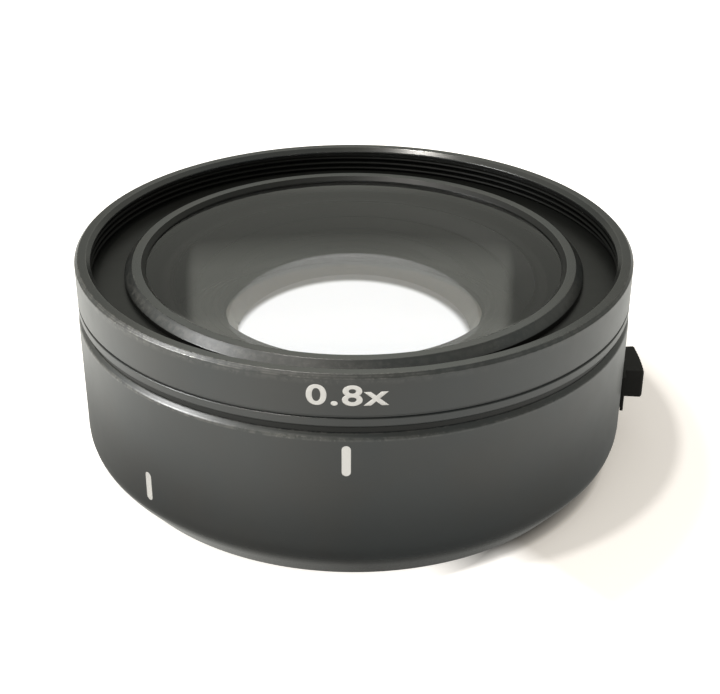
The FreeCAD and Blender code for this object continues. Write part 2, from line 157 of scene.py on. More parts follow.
class LENS_PG_finishes(bpy.types.PropertyGroup):
    """Colours of the finishes."""
    anodised: colour("Anodised", "Black anodised aluminium", "232422")
    anodised_tint: colour("Anodised tint", "Where the dye looks bluish", "1f2425")
    # Painted highlight: the scuffed and bare colours lie mostly on the left front edges, where they also stand for
    # the lamp's highlight
    scuffed: colour("Scuffed", "Anodising rubbed grey by handling", "6a6964")
    bare_metal: colour("Bare metal", "Aluminium where the black has worn off an edge", "8f8f8a")
    paint: colour("Mark paint", "White paint in the index marks and the print", "e6e6e2")
    interior: colour("Interior black", "Matt black paint inside", "0b0b0a")
    lever: colour("Lever plastic", "Black moulded lever", "100e0a")
    steel: colour("Steel", "Screws, pin, slider and spring", "8e8d89")
    chrome: colour("Chrome", "Bayonet ring", "b4b4b2")
    floor: colour("Table", "Table that the lens stands on", "f4f3f1")


class LENS_PG_studio(bpy.types.PropertyGroup):
    """Camera and light."""
    focal: FloatProperty(name="Focal length", description="Millimetres on a 36 mm sensor", default=70.0)
    distance: length("Distance", "Camera to the origin", 246.02)
    azimuth: angle("Azimuth", "Camera round the lens", math.radians(271.3))
    elevation: angle("Elevation", "Camera above the table", 0.554502)
    pitch: angle("Pitch", "Camera tilted up from the origin", 0.059054)
    yaw: angle("Yaw", "Camera turned left from the origin", -0.004373)
    roll: angle("Roll", "Camera rolled", -0.002690)
    sky: FloatProperty(name="Sky", description="Strength of the even light", default=0.66)
    key: FloatProperty(name="Key", description="Power of the lamp that casts the shadow", default=3.2, unit="POWER")
    accent: FloatProperty(name="Accent", description="Power of the lamp at the left", default=2.2, unit="POWER")


def sizes():
    return bpy.context.scene.lens_sizes


def finishes():
    return bpy.context.scene.lens_finishes


# Shader and geometry trees

def add_node(tree, kind, inputs=None, **settings):
    """Adds a node with its settings. Each input named gets a link from a socket, or a plain value."""
    node = tree.nodes.new(kind)
    for key, value in settings.items():
        setattr(node, key, value)
    for key, value in (inputs or {}).items():
        if isinstance(value, bpy.types.NodeSocket):
            tree.links.new(value, node.inputs[key])
        else:
            node.inputs[key].default_value = value
    return node


def maths(tree, operation, first, second=0.0, **settings):
    """What one maths node gives; its terms are sockets or numbers."""
    return add_node(tree, "ShaderNodeMath", {0: first, 1: second}, operation=operation, **settings).outputs[0]


def vector_maths(tree, operation, first, second=(0.0, 0.0, 0.0)):
    """What one vector node gives; its terms are sockets or plain vectors."""
    node = add_node(tree, "ShaderNodeVectorMath", {0: first, 1: second}, operation=operation)
    return node.outputs["Value" if operation in ("DOT_PRODUCT", "LENGTH", "DISTANCE") else "Vector"]


def span(tree, value, from_min, from_max, to_min=0.0, to_max=1.0, **settings):
    """A value mapped from one span onto another, and held at its ends."""
    ends = {"From Min": from_min, "From Max": from_max, "To Min": to_min, "To Max": to_max}
    return add_node(tree, "ShaderNodeMapRange", {"Value": value, **ends}, **settings).outputs["Result"]


def blend(tree, factor, first, second):
    """The first colour, or the second where the factor is 1."""
    terms = {"Factor": factor, "A": first, "B": second}
    return add_node(tree, "ShaderNodeMix", terms, data_type="RGBA").outputs["Result"]


def switch(tree, factor, first, second):
    """The first shader, or the second where the factor is 1."""
    return add_node(tree, "ShaderNodeMixShader", {0: factor, 1: first, 2: second}).outputs[0]


def glow(tree, tone, strength, kind="ShaderNodeEmission"):
    """Light of a colour and strength, from a surface, or from the world with the background node."""
    return add_node(tree, kind, {"Color": tone, "Strength": strength}).outputs[0]


def new_material(name):
    material = bpy.data.materials.new(name)
    material.use_nodes = True
    tree = material.node_tree
    tree.nodes.clear()
    return material, tree


def close_material(tree, shader):
    add_node(tree, "ShaderNodeOutputMaterial", {"Surface": shader})


def ramp(tree, source, stops):
    """A colour ramp from (position, grey or colour) stops."""
    node = add_node(tree, "ShaderNodeValToRGB", {"Fac": source})
    elements = node.color_ramp.elements
    while len(elements) < len(stops):
        elements.new(0.5)
    for element, (position, value) in zip(elements, stops):
        element.position = position
        element.color = value if isinstance(value, (tuple, list)) else (value, value, value, 1.0)
    return node.outputs["Color"]


def grain(tree, place, size, detail=2.0):
    """Noise whose features are about size millimetres across."""
    noise = add_node(tree, "ShaderNodeTexNoise", {"Vector": place, "Scale": 1 / (size * MM), "Detail": detail})
    return noise.outputs["Fac"]


def bump(tree, height, strength, depth):
    """Normals of a relief; depth is in millimetres."""
    relief = {"Height": height, "Strength": strength, "Distance": depth * MM}
    return add_node(tree, "ShaderNodeBump", relief).outputs["Normal"]


def principled(tree, inputs):
    return add_node(tree, "ShaderNodeBsdfPrincipled", inputs).outputs[0]


def black_anodised(name, roughness=0.34, tint=1.0, ior=1.72, base=None):
    """Aluminium, bead blasted and black anodised: satin, faintly uneven in tone, and scuffed and bare on its worn
    edges, most of all on the left front, where the scuffs also paint the lamp's highlight.
    """
    material, tree = new_material(name)
    f = finishes()
    place = add_node(tree, "ShaderNodeTexCoord").outputs["Object"]
    patches = ramp(tree, grain(tree, place, 16.0, 3.0), [(0.38, 0.0), (0.62, tint)])
    dye = blend(tree, patches, base or f.anodised, base or f.anodised_tint)
    # Painted highlight: the edge wear grows towards the left front, where it also stands for the lamp's highlight on
    # the chamfers
    facing_wear_and_highlight = vector_maths(tree, "DOT_PRODUCT", vector_maths(tree, "NORMALIZE", place), WEAR_AND_HIGHLIGHT_SIDE)
    side = ramp(tree, facing_wear_and_highlight, [(0.2, 0.2), (0.6, 0.35), (0.8, 1.0)])
    edge = add_node(tree, "ShaderNodeAttribute", attribute_name="edge_wear").outputs["Fac"]
    worn = maths(tree, "MULTIPLY", edge, side)
    mottle = ramp(tree, grain(tree, place, 1.1, 5.0), [(0.4, 0.0), (0.6, 1.0)])
    scuffed = blend(tree, maths(tree, "MULTIPLY", mottle, worn, use_clamp=True), dye, f.scuffed)
    chips = ramp(tree, grain(tree, place, 0.45, 6.0), [(0.52, 0.0), (0.64, 1.0)])
    stretches = ramp(tree, grain(tree, place, 7.0, 2.0), [(0.42, 0.1), (0.62, 1.0)])
    bare = maths(tree, "MULTIPLY", maths(tree, "MULTIPLY", chips, stretches), worn, use_clamp=True)
    close_material(tree, principled(tree, {
        "Base Color": blend(tree, bare, scuffed, f.bare_metal),
        "Roughness": span(tree, grain(tree, place, 3.0, 4.0), 0.0, 1.0, roughness - 0.04, roughness + 0.04),
        "Metallic": bare, "IOR": ior, "Normal": bump(tree, grain(tree, place, 0.16, 2.0), 0.12, 0.02)}))
    return material


def plain_finish(name, tone, roughness, grain_size, depth, metallic=0.0, sheen=0.5):
    """An even finish with a fine surface grain, such as moulded plastic, satin steel or matt paint."""
    material, tree = new_material(name)
    place = add_node(tree, "ShaderNodeTexCoord").outputs["Object"]
    dim = tuple(c * 0.88 for c in tone[:3]) + (1.0,)
    close_material(tree, principled(tree, {
        "Base Color": ramp(tree, grain(tree, place, 8.0, 3.0), [(0.3, dim), (0.7, tuple(tone))]),
        "Roughness": span(tree, grain(tree, place, 2.5, 3.0), 0.0, 1.0, roughness - 0.05, roughness + 0.05),
        "Normal": bump(tree, grain(tree, place, grain_size, 3.0), 0.3, depth),
        "Metallic": metallic, "Specular IOR Level": sheen}))
    return material


def coated_glass(name, ior, film):
    """Polished optical glass, with a coating film in nanometres. Shadow and diffuse rays pass through it."""
    material, tree = new_material(name)
    polished = principled(tree, {"Base Color": WHITE, "Roughness": 0.0, "IOR": ior, "Transmission Weight": 1.0,
                                 "Thin Film Thickness": film, "Thin Film IOR": 1.38})
    path = add_node(tree, "ShaderNodeLightPath").outputs
    light = maths(tree, "MAXIMUM", path["Is Shadow Ray"], path["Is Diffuse Ray"])
    clear = add_node(tree, "ShaderNodeBsdfTransparent", {"Color": linear("f4f4f0")}).outputs[0]
    close_material(tree, switch(tree, light, polished, clear))
    return material


_materials = {}


def material(key):
    """The finish of that key, made once."""
    if key not in _materials:
        # Painted shade: the thread and recess finishes are darker, duller copies of the anodising, for the shade in
        # the rim's recess, the neck and the ring's chamfers
        f, painted_shade_black = finishes(), linear("111210")
        makers = {
            "anodised": lambda: black_anodised("black_anodised_aluminium"),
            "anodised_thread": lambda: black_anodised("black_anodised_cut_thread", 0.52, 0.3, 1.22, painted_shade_black),
            "anodised_rim": lambda: black_anodised("black_anodised_turned_rim", 0.2, 0.6),
            "anodised_painted_shade": lambda: black_anodised("black_anodised_turned_recess", 0.42, 0.3, 1.42, painted_shade_black),
            "interior": lambda: plain_finish("matt_black_interior_paint", f.interior, 0.75, 4.0, 0.002, sheen=0.08),
            "edge_black": lambda: plain_finish("black_lens_edge_lacquer", f.interior, 0.6, 4.0, 0.002, sheen=0.08),
            "paint": lambda: plain_finish("white_engraving_paint", f.paint, 0.5, 0.15, 0.01),
            "lever": lambda: plain_finish("black_moulded_abs", f.lever, 0.62, 0.14, 0.03, sheen=0.3),
            "steel": lambda: plain_finish("satin_steel", f.steel, 0.34, 0.1, 0.01, metallic=1.0),
            "chrome": lambda: plain_finish("satin_chrome_plate", f.chrome, 0.22, 0.12, 0.005, metallic=1.0),
            "front_glass": lambda: coated_glass("polished_front_glass", 1.7, 0.0),
            "rear_glass": lambda: coated_glass("coated_rear_glass", 1.62, 125.0),
        }
        _materials[key] = makers[key]()
    return _materials[key]


# Mesh helpers

def corner(radius, height, rounding=0.0, wear=0.0, finish=None):
    """A corner of a turned outline in millimetres; finish is the material key of the stretch that follows."""
    return (Vector((radius, height)), rounding, wear, finish)


def stretch(finish, *places):
    """Corners of a turned outline with one finish after each of them."""
    return [corner(*place, finish=finish) for place in places]


def outline_points(corners):
    """Every point of a turned outline, with its rounded corners, as (radius, height, wear, finish)."""
    points = []
    for i, (at, rounding, wear, finish) in enumerate(corners):
        before, after = corners[i - 1], corners[(i + 1) % len(corners)]
        if rounding <= 0:
            points.append((at.x, at.y, wear, finish))
            continue
        back, forth = before[0] - at, after[0] - at
        reach = min(rounding, 0.4 * back.length, 0.4 * forth.length)
        hold = min(0.5 * reach + 0.02, 0.45 * min(back.length, forth.length) - reach)
        a, b = at + back.normalized() * reach, at + forth.normalized() * reach
        start, end = at + back.normalized() * (reach + hold), at + forth.normalized() * (reach + hold)
        points.append((start.x, start.y, 0.0, before[3]))
        for step in range(5):
            t = step / 4
            p = a * (1 - t) ** 2 + at * 2 * t * (1 - t) + b * t * t
            points.append((p.x, p.y, wear, before[3] if step < 2 else finish))
        points.append((end.x, end.y, 0.0, finish))
    return points


def arc_points(rim, rim_z, apex_z, steps=48):
    """Points of a spherical surface from its rim to the axis."""
    sag = apex_z - rim_z
    curve = (rim * rim + sag * sag) / (2 * sag)
    centre = apex_z - curve
    side = 1 if curve > 0 else -1
    return [(rim * (1 - i / steps), centre + side * math.sqrt(curve * curve - (rim * (1 - i / steps)) ** 2))
            for i in range(steps + 1)]


def mesh_object(name, mesh):
    obj = bpy.data.objects.new(name, mesh)
    bpy.context.scene.collection.objects.link(obj)
    return obj


def mesh_from(bm, name):
    """A new mesh that takes over what a bmesh holds."""
    mesh = bpy.data.meshes.new(name)
    bm.to_mesh(mesh)
    bm.free()
    return mesh


def evaluated_mesh(obj):
    """A plain mesh of an object as its modifiers leave it."""
    bpy.context.view_layer.update()
    return bpy.data.meshes.new_from_object(obj.evaluated_get(bpy.context.evaluated_depsgraph_get()))


def dress(mesh, keys):
    mesh.materials.clear()
    for key in keys:
        mesh.materials.append(material(key))


def turn_points(name, points, keys, closed=True):
    """A mesh turned about Z from outline points; a point on the axis becomes a pole."""
    count = sizes().facets
    area = sum(a[0] * b[1] - b[0] * a[1] for a, b in zip(points, points[1:] + points[:1]))
    if area > 0:
        finish_of = [points[i - 1][3] for i in range(len(points))]
        points = [(p[0], p[1], p[2], m) for p, m in zip(points, finish_of)][::-1]
    verts, wear, rings = [], [], []
    for radius, z, worn, _ in points:
        if radius < 1e-6:
            rings.append([len(verts)] * count)
            verts.append((0.0, 0.0, z * MM))
            wear.append(worn)
            continue
        rings.append(list(range(len(verts), len(verts) + count)))
        for j in range(count):
            azimuth = 2 * math.pi * j / count
            verts.append((radius * MM * math.cos(azimuth), radius * MM * math.sin(azimuth), z * MM))
        wear += [worn] * count
    faces, slots = [], []
    last = len(points) if closed else len(points) - 1
    for i in range(last):
        low, high = rings[i], rings[(i + 1) % len(points)]
        if len(set(low)) == 1 and len(set(high)) == 1:
            continue
        for j in range(count):
            k = (j + 1) % count
            face = [low[j], high[j], high[k], low[k]]
            faces.append([v for n, v in enumerate(face) if v != face[n - 1]])
            slots.append(points[i][3])
    mesh = bpy.data.meshes.new(name)
    mesh.from_pydata(verts, [], faces)
    dress(mesh, keys)
    mesh.polygons.foreach_set("material_index", slots)
    mesh.shade_smooth()
    mesh.set_sharp_from_angle(angle=SHARP_EDGE)
    mesh.attributes.new("edge_wear", "FLOAT", "POINT").data.foreach_set("value", wear)
    mesh.update()
    return mesh_object(name, mesh)


def turned(name, corners, keys=("anodised",)):
    """A piece turned from corners; a corner that names no finish has the first of the keys."""
    points = [(r, z, wear, keys.index(finish) if finish else 0) for r, z, wear, finish in outline_points(corners)]
    return turn_points(name, points, keys)


def lens_body(name, front, edge, rear, keys):
    """A glass element: its front surface from rim to axis, its ground edge, and its rear surface."""
    polished, ground = 0, 1
    points = [(r, z, 0.0, polished) for r, z in reversed(front)]
    points[-1] = (*points[-1][:3], ground)
    points += [(r, z, 0.0, ground) for r, z in edge]
    points += [(r, z, 0.0, polished) for r, z in rear]
    return turn_points(name, points, keys, closed=False)


def prism(outline, matrix, depth):
    """A closed prism of a flat outline, pushed along its own Z, in millimetres."""
    bm = bmesh.new()
    base = [bm.verts.new(matrix @ Vector((x, y, 0.0))) for x, y in outline]
    face = bm.faces.new(base)
    pushed = bmesh.ops.extrude_face_region(bm, geom=[face])
    along = (matrix.to_3x3() @ Vector((0, 0, 1))) * depth
    bmesh.ops.translate(bm, vec=along, verts=[v for v in pushed["geom"] if isinstance(v, bmesh.types.BMVert)])
    bmesh.ops.recalc_face_normals(bm, faces=bm.faces)
    bmesh.ops.scale(bm, vec=(MM, MM, MM), verts=bm.verts)
    return mesh_from(bm, "cutter")


def rectangle(width, height):
    x, y = width / 2, height / 2
    return [(-x, -y), (x, -y), (x, y), (-x, y)]


def ring_points(radius, count=40):
    angles = [2 * math.pi * i / count for i in range(count)]
    return [(radius * math.cos(a), radius * math.sin(a)) for a in angles]


def stadium(width, height, steps=10):
    """A round-ended slot's outline, its length along Y."""
    radius, half = width / 2, height / 2 - width / 2
    angles = [math.pi * i / steps for i in range(steps + 1)]
    top = [(radius * math.cos(a), half + radius * math.sin(a)) for a in angles]
    return top + [(-x, -y) for x, y in top]


def sector_outline(inner, outer, start, end, steps=14):
    angles = [math.radians(start + (end - start) * i / steps) for i in range(steps + 1)]
    return ([(inner * math.cos(a), inner * math.sin(a)) for a in angles]
            + [(outer * math.cos(a), outer * math.sin(a)) for a in reversed(angles)])


def upright(azimuth, radius, z):
    """A place whose own Z is up, at a radius and azimuth."""
    turn = Matrix.Rotation(math.radians(azimuth), 4, "Z")
    return turn @ Matrix.Translation((radius, 0, z))


def facing_out(azimuth, radius, z):
    """A place whose own Z points outwards, Y up, at a radius and azimuth."""
    axes = Matrix(((0, 0, 1), (1, 0, 0), (0, 1, 0))).to_4x4()
    return Matrix.Rotation(math.radians(azimuth), 4, "Z") @ Matrix.Translation((radius, 0, z)) @ axes


def cut_away(obj, cutters):
    """Cuts closed meshes out of a piece and leaves a plain mesh. The cut faces get the piece's first finish."""
    group = bpy.data.collections.new("cutters")
    for i, mesh in enumerate(cutters):
        for finish in obj.data.materials:
            mesh.materials.append(finish)
        group.objects.link(mesh_object(f"cutter_{i}", mesh))
    modifier = obj.modifiers.new("cut", "BOOLEAN")
    modifier.operation = "DIFFERENCE"
    modifier.operand_type = "COLLECTION"
    modifier.collection = group
    modifier.solver = "EXACT"
    result = evaluated_mesh(obj)
    obj.modifiers.remove(modifier)
    obj.data = result
    result.name = obj.name
    result.set_sharp_from_angle(angle=SHARP_EDGE)
    for tool in list(group.objects):
        bpy.data.objects.remove(tool)
    bpy.data.collections.remove(group)
    return obj


def seat(obj, body, slot, *nodes):
    """Puts a finished piece on its body and hides the solids that it stands for. Its slot is not used."""
    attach(obj, body)
    if nodes:
        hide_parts(*nodes)
    return obj


def baked(name, tree, values):
    """The mesh that a geometry tree gives for these input values, as a plain object."""
    holder = mesh_object(name, bpy.data.meshes.new(name))
    modifier = holder.modifiers.new("build", "NODES")
    modifier.node_group = tree
    sockets = {item.name: item.identifier for item in tree.interface.items_tree
               if item.item_type == "SOCKET" and item.in_out == "INPUT"}
    for key, value in values.items():
        modifier[sockets[key]] = value
    mesh = evaluated_mesh(holder)
    holder.modifiers.remove(modifier)
    holder.data = mesh
    mesh.name = name
    return holder


def new_tree(name, **inputs):
    """A geometry tree whose inputs are named by the keywords, each with its kind of socket."""
    tree = bpy.data.node_groups.new(name, "GeometryNodeTree")
    for label, kind in inputs.items():
        tree.interface.new_socket(label.replace("_", " "), in_out="INPUT", socket_type="NodeSocket" + kind)
    tree.interface.new_socket("Geometry", in_out="OUTPUT", socket_type="NodeSocketGeometry")
    return tree, tree.nodes.new("NodeGroupInput").outputs


def close_tree(tree, given, geometry):
    """Gives the geometry its finish and makes it the tree's result."""
    done = add_node(tree, "GeometryNodeSetMaterial", {"Geometry": geometry, "Material": given["Finish"]})
    add_node(tree, "NodeGroupOutput", {0: done.outputs[0]})
    return tree


def thread_tree():
    """A tapered ridge swept along a helix, whose ends run out into the wall."""
    tree, given = new_tree("cut_thread", Radius="Float", Height="Float", Turns="Float", Depth="Float",
                           Root_Width="Float", Crest_Width="Float", Start_Height="Float", Finish="Material")
    helix = add_node(tree, "GeometryNodeCurveSpiral",
                     {"Rotations": given["Turns"], "Start Radius": given["Radius"], "End Radius": given["Radius"],
                      "Height": given["Height"], "Resolution": 220, "Reverse": True})
    along = add_node(tree, "GeometryNodeSplineParameter").outputs["Factor"]
    from_middle = maths(tree, "ABSOLUTE", maths(tree, "SUBTRACT", along, 0.5))
    sunk = span(tree, from_middle, 0.47, 0.5, 1.0, 1.013, interpolation_type="SMOOTHSTEP")
    wider = add_node(tree, "ShaderNodeCombineXYZ", {"X": sunk, "Y": sunk, "Z": 1.0})
    spot = add_node(tree, "GeometryNodeInputPosition").outputs[0]
    spread = vector_maths(tree, "MULTIPLY", spot, wider.outputs[0])
    faded = add_node(tree, "GeometryNodeSetPosition", {"Geometry": helix.outputs[0], "Position": spread})
    level = add_node(tree, "GeometryNodeSetCurveNormal", {"Curve": faded.outputs[0]}, mode="Z_UP")
    ridge = add_node(tree, "GeometryNodeCurvePrimitiveQuadrilateral",
                     {"Bottom Width": given["Root Width"], "Top Width": given["Crest Width"],
                      "Height": given["Depth"], "Offset": 0.0}, mode="TRAPEZOID")
    turn = add_node(tree, "GeometryNodeTransform",
                    {"Geometry": ridge.outputs[0], "Rotation": (0, 0, math.radians(90))})
    swept = add_node(tree, "GeometryNodeCurveToMesh",
                     {"Curve": level.outputs[0], "Profile Curve": turn.outputs[0], "Fill Caps": True})
    lift = add_node(tree, "ShaderNodeCombineXYZ", {"Z": given["Start Height"]})
    moved = add_node(tree, "GeometryNodeTransform", {"Geometry": swept.outputs[0], "Translation": lift.outputs[0]})
    return close_tree(tree, given, moved.outputs[0])


def ring_tree():
    """Copies of one piece, evenly spaced on a circle about Z, each turned by chance."""
    tree, given = new_tree("pieces_on_a_circle", Piece="Object", Count="Int", Radius="Float",
                           First_Angle="Float", Height="Float", Finish="Material")
    piece = add_node(tree, "GeometryNodeObjectInfo", {"Object": given["Piece"]})
    circle = add_node(tree, "GeometryNodeMeshCircle", {"Vertices": given["Count"], "Radius": given["Radius"]})
    spots = add_node(tree, "GeometryNodeMeshToPoints", {"Mesh": circle.outputs[0]})
    number = add_node(tree, "GeometryNodeInputIndex").outputs[0]
    chance = add_node(tree, "FunctionNodeRandomValue", {"ID": number, "Seed": 7, "Max": math.pi}, data_type="FLOAT")
    turn = add_node(tree, "ShaderNodeCombineXYZ", {"Z": chance.outputs[1]})
    copies = add_node(tree, "GeometryNodeInstanceOnPoints",
                      {"Points": spots.outputs[0], "Instance": piece.outputs["Geometry"],
                       "Rotation": turn.outputs[0]})
    start = add_node(tree, "ShaderNodeCombineXYZ", {"Z": given["First Angle"]})
    lift = add_node(tree, "ShaderNodeCombineXYZ", {"Z": given["Height"]})
    moved = add_node(tree, "GeometryNodeTransform",
                     {"Geometry": copies.outputs[0], "Rotation": start.outputs[0],
                      "Translation": lift.outputs[0]})
    real = add_node(tree, "GeometryNodeRealizeInstances", {"Geometry": moved.outputs[0]})
    return close_tree(tree, given, real.outputs[0])


# Pieces

class LENS_OT_front_barrel(bpy.types.Operator):
    """Front barrel with its rim, engraved line, band and neck"""
    bl_idname = "lens.front_barrel"
    bl_label = "Front barrel"

    def execute(self, context):
        s = sizes()
        top, outer, joint = s.height / MM, s.barrel_radius / MM, s.joint / MM
        e = s.edge_round / MM
        floor, line, foot = top - FLOOR_DEPTH, outer - 0.3, joint - SPIGOT_LENGTH
        neck, spigot, spigot_bore = outer - 0.7, outer - 1.55, 41.75
        tube, ledge, glass_seat, ring_seat = 37.55, 31.4, 35.05, 36.05
        recess, lead_in = 43.5, 42.5
        outside = [
            corner(43.15, top, 0.06, 0.3, "anodised_rim"),
            corner(outer - 0.5, top, e, 0.8),
            corner(outer - 0.25, top - 0.25, 0.0, 0.8),
            corner(outer, top - 0.5, e, 0.9),
            corner(outer, top - 0.9, 0.0, 0.4),
            corner(outer, top - 1.6),
            corner(outer, top - 6.4, 0.1),
            corner(line, top - 6.55),
            corner(line, top - 6.75),
            corner(outer, top - 6.9, 0.1),
            corner(outer, joint + 1.3, 0.2, 0.05),
            # Painted shade: the neck takes the darker recess finish
            corner(outer - 0.35, joint + 1.05, 0.1, 0.0, "anodised_painted_shade"),
            corner(neck, joint + 0.9, 0.2, 0.0, "anodised_painted_shade"),
            corner(neck, joint),
            corner(spigot, joint),
        ]
        hidden = stretch("interior", (spigot, foot), (spigot_bore, foot), (spigot_bore, floor - 2.2),
                         (tube, floor - 2.2), (tube, floor - 10.4), (ledge, floor - 10.4), (ledge, floor - 8.9),
                         (glass_seat, floor - 8.9), (glass_seat, floor - 3.4), (ring_seat, floor - 3.4))
        # Painted shade: the recess and the thread bore take the darker recess finish
        bored = stretch("anodised_painted_shade", (ring_seat, floor), (recess, floor, 0.3), (recess, top - 2.35),
                        (THREAD_BORE, top - 2.35), (THREAD_BORE, top - 1.15))
        bored += [corner(lead_in, top - 0.9, 0.04), corner(lead_in, top - 0.65, 0.06, 0.3, "anodised_rim")]
        barrel = turned("front_barrel_shell", outside + hidden + bored,
                        ("anodised", "anodised_painted_shade", "anodised_rim", "interior"))
        seat(barrel, "barrel", "black_anodised", "front_barrel")
        return {"FINISHED"}


class LENS_OT_filter_thread(bpy.types.Operator):
    """Fine thread inside the front rim"""
    bl_idname = "lens.filter_thread"
    bl_label = "Filter thread"

    def execute(self, context):
        s = sizes()
        turns, bite = 2.9, 0.03 * MM
        thread = baked("filter_thread", thread_tree(), {
            "Radius": THREAD_BORE * MM - s.thread_depth / 2 + bite,
            "Height": s.thread_pitch * turns,
            "Turns": turns,
            "Depth": s.thread_depth + 2 * bite,
            "Root Width": 0.86 * s.thread_pitch,
            "Crest Width": 0.14 * s.thread_pitch,
            "Start Height": s.height - 4.3 * MM,
            "Finish": material("anodised_thread"),
        })
        seat(thread, "barrel", "black_anodised")
        return {"FINISHED"}


class LENS_OT_front_ring(bpy.types.Operator):
    """Ring that holds the front glass"""
    bl_idname = "lens.front_ring"
    bl_label = "Front retaining ring"

    def execute(self, context):
        e = sizes().edge_round / MM
        floor = sizes().height / MM - FLOOR_DEPTH
        top, foot = floor + 2.15, floor - 3.3
        flange, stem, bore, lip, land = 37.35, 36.0, 35.15, 33.9, floor + 1.25
        ring = turned("front_ring_shell", [
            corner(34.6, top, 0.05, 0.2, "anodised_rim"),
            corner(36.05, top, e, 0.5),
            corner(36.45, top - 0.4, 0.0, 0.5),
            corner(37.0, top - 0.95, 0.0, 0.4),
            # Painted shade: the ring's lower chamfer and inner lip take the darker recess finish
            corner(flange, top - 1.3, e, 0.25, "anodised_painted_shade"),
            corner(flange, floor),
            corner(stem, floor),
            corner(stem, foot),
            corner(bore, foot),
            corner(bore, land),
            corner(lip, land, 0.0, 0.0, "anodised_painted_shade"),
            corner(lip, top - 0.7, 0.05, 0.0, "anodised_painted_shade"),
        ], ("anodised", "anodised_rim", "anodised_painted_shade"))
        seat(ring, "barrel", "black_anodised", "front_retaining_ring")
        return {"FINISHED"}


class LENS_OT_glass(bpy.types.Operator):
    """Front element and the cemented rear pair"""
    bl_idname = "lens.glass"
    bl_label = "Glass"

    def execute(self, context):
        s = sizes()
        land, curve = s.height / MM - 3.35, s.front_curve / MM
        face, edge, hollow, thick = 33.85, 35.0, 30.0, 3.2
        apex = land + curve - math.sqrt(curve ** 2 - face ** 2)
        under = land - 10.15
        front = lens_body("front_glass", arc_points(face, land, apex), [(edge, land), (edge, under), (hollow, under)],
                          arc_points(hollow, under, apex - thick)[1:], ("front_glass", "edge_black"))
        seat(front, "barrel", "coated_glass", "front_element")
        rear_curve, rear_face, rear_edge = 90.0, 25.15, 26.5
        rear_land = under - 4.7
        rear_apex = rear_land + rear_curve - math.sqrt(rear_curve ** 2 - rear_face ** 2)
        flat = rear_land - 6.6
        rear = lens_body("rear_pair_glass", arc_points(rear_face, rear_land, rear_apex),
                         [(rear_edge, rear_land), (rear_edge, flat)], [(24.5, flat), (12.0, flat), (0.0, flat)],
                         ("rear_glass", "edge_black"))
        seat(rear, "barrel", "coated_glass", "rear_crown_element", "rear_flint_element")
        return {"FINISHED"}


class LENS_OT_inner_rings(bpy.types.Operator):
    """Baffle, rear cell and rear retaining ring"""
    bl_idname = "lens.inner_rings"
    bl_label = "Inner rings"

    def execute(self, context):
        top = sizes().height / MM - 16.4
        web = web_face() + WEB_THICK
        inner, outer, steps, low = 25.3, 31.2, 5, top + 0.6
        run, rise = (outer - inner) / steps, 2.0 / steps
        corners = [corner(inner, top), corner(inner, low)]
        for i in range(steps):
            corners += [corner(inner + (i + 0.75) * run, low + i * rise),
                        corner(inner + (i + 1) * run, low + (i + 1) * rise)]
        skirt, sleeve = 30.1, 28.9
        corners += [corner(outer, top + 1.4), corner(skirt, top - 0.6), corner(skirt, top - 1.5),
                    corner(sleeve, top - 1.5), corner(sleeve, top)]
        baffle = turned("baffle_shell", corners, ("interior",))
        seat(baffle, "barrel", "matt_black", "baffle_ring")
        bore, tube, flange, spigot, glass_seat = 25.2, 28.85, 33.95, 29.85, 26.55
        foot = web - 1.6
        cell = turned("rear_cell_shell", [
            corner(bore, top, 0.1), corner(tube, top, 0.1), corner(tube, web + 1.8), corner(flange, web + 1.8, 0.1),
            corner(flange, web), corner(spigot, web), corner(spigot, foot, 0.1), corner(glass_seat, foot, 0.15),
            corner(glass_seat, top - 1.8), corner(bore, top - 1.8)], ("interior",))
        seat(cell, "barrel", "black_anodised", "rear_cell")
        mouth, thread, opening = 24.6, 26.5, 22.2
        flat = top - 8.4
        foot = flat - 8.0
        ring = turned("rear_ring_shell", [
            corner(mouth, flat), corner(thread, flat), corner(thread, foot, 0.1), corner(opening, foot, 0.15),
            corner(opening, foot + 0.6)])
        slots = [prism(rectangle(6.0, 1.6), upright(a, 24.7, foot - 0.1), 1.1) for a in (0, 180)]
        seat(cut_away(ring, slots), "barrel", "black_anodised", "rear_retaining_ring")
        return {"FINISHED"}


class LENS_OT_lower_barrel(bpy.types.Operator):
    """Lower barrel with its base chamfer, lever slot and index pockets"""
    bl_idname = "lens.lower_barrel"
    bl_label = "Lower barrel"

    def execute(self, context):
        s = sizes()
        outer, joint, chamfer = s.lower_radius / MM, s.joint / MM, s.base_chamfer / MM
        web, base, land = web_face(), outer - chamfer, joint - SPIGOT_LENGTH - 0.1
        spigot_seat, wall, socket, cell_bore = 43.5, 42.5, 37.9, 29.95
        barrel = turned("lower_barrel_shell", [
            corner(spigot_seat, joint),
            corner(outer - 0.75, joint, 0.2, 0.5),
            corner(outer, joint - 0.75, 0.25, 0.5),
            corner(outer, chamfer + 0.9, 1.9, 0.0, "anodised_rim"),
            corner(base, 0.0, 0.3, 0.0, "interior"),
            corner(base - 0.75, 0.0),
            corner(base - 0.75, BAYONET_THICK),
            corner(socket, BAYONET_THICK),
        ] + stretch("interior", (socket, web), (cell_bore, web), (cell_bore, web + WEB_THICK),
                    (wall, web + WEB_THICK), (wall, land), (spigot_seat, land)),
            ("anodised", "anodised_rim", "interior"))
        mark = stadium(s.mark_width / MM, s.mark_length / MM)
        cutters = [prism(mark, facing_out(azimuth, outer - 0.15, z), 2.0) for azimuth, z in INDEX_MARKS]
        cutters.append(prism(rectangle(8.14, 3.0), facing_out(5.0, 41.0, 11.6), 6.0))
        for azimuth in CELL_SCREWS:
            cutters.append(prism(ring_points(1.6), upright(azimuth, CELL_CIRCLE, web - 0.5), 1.3))
        seat(cut_away(barrel, cutters), "barrel", "black_anodised", "lower_barrel")
        return {"FINISHED"}



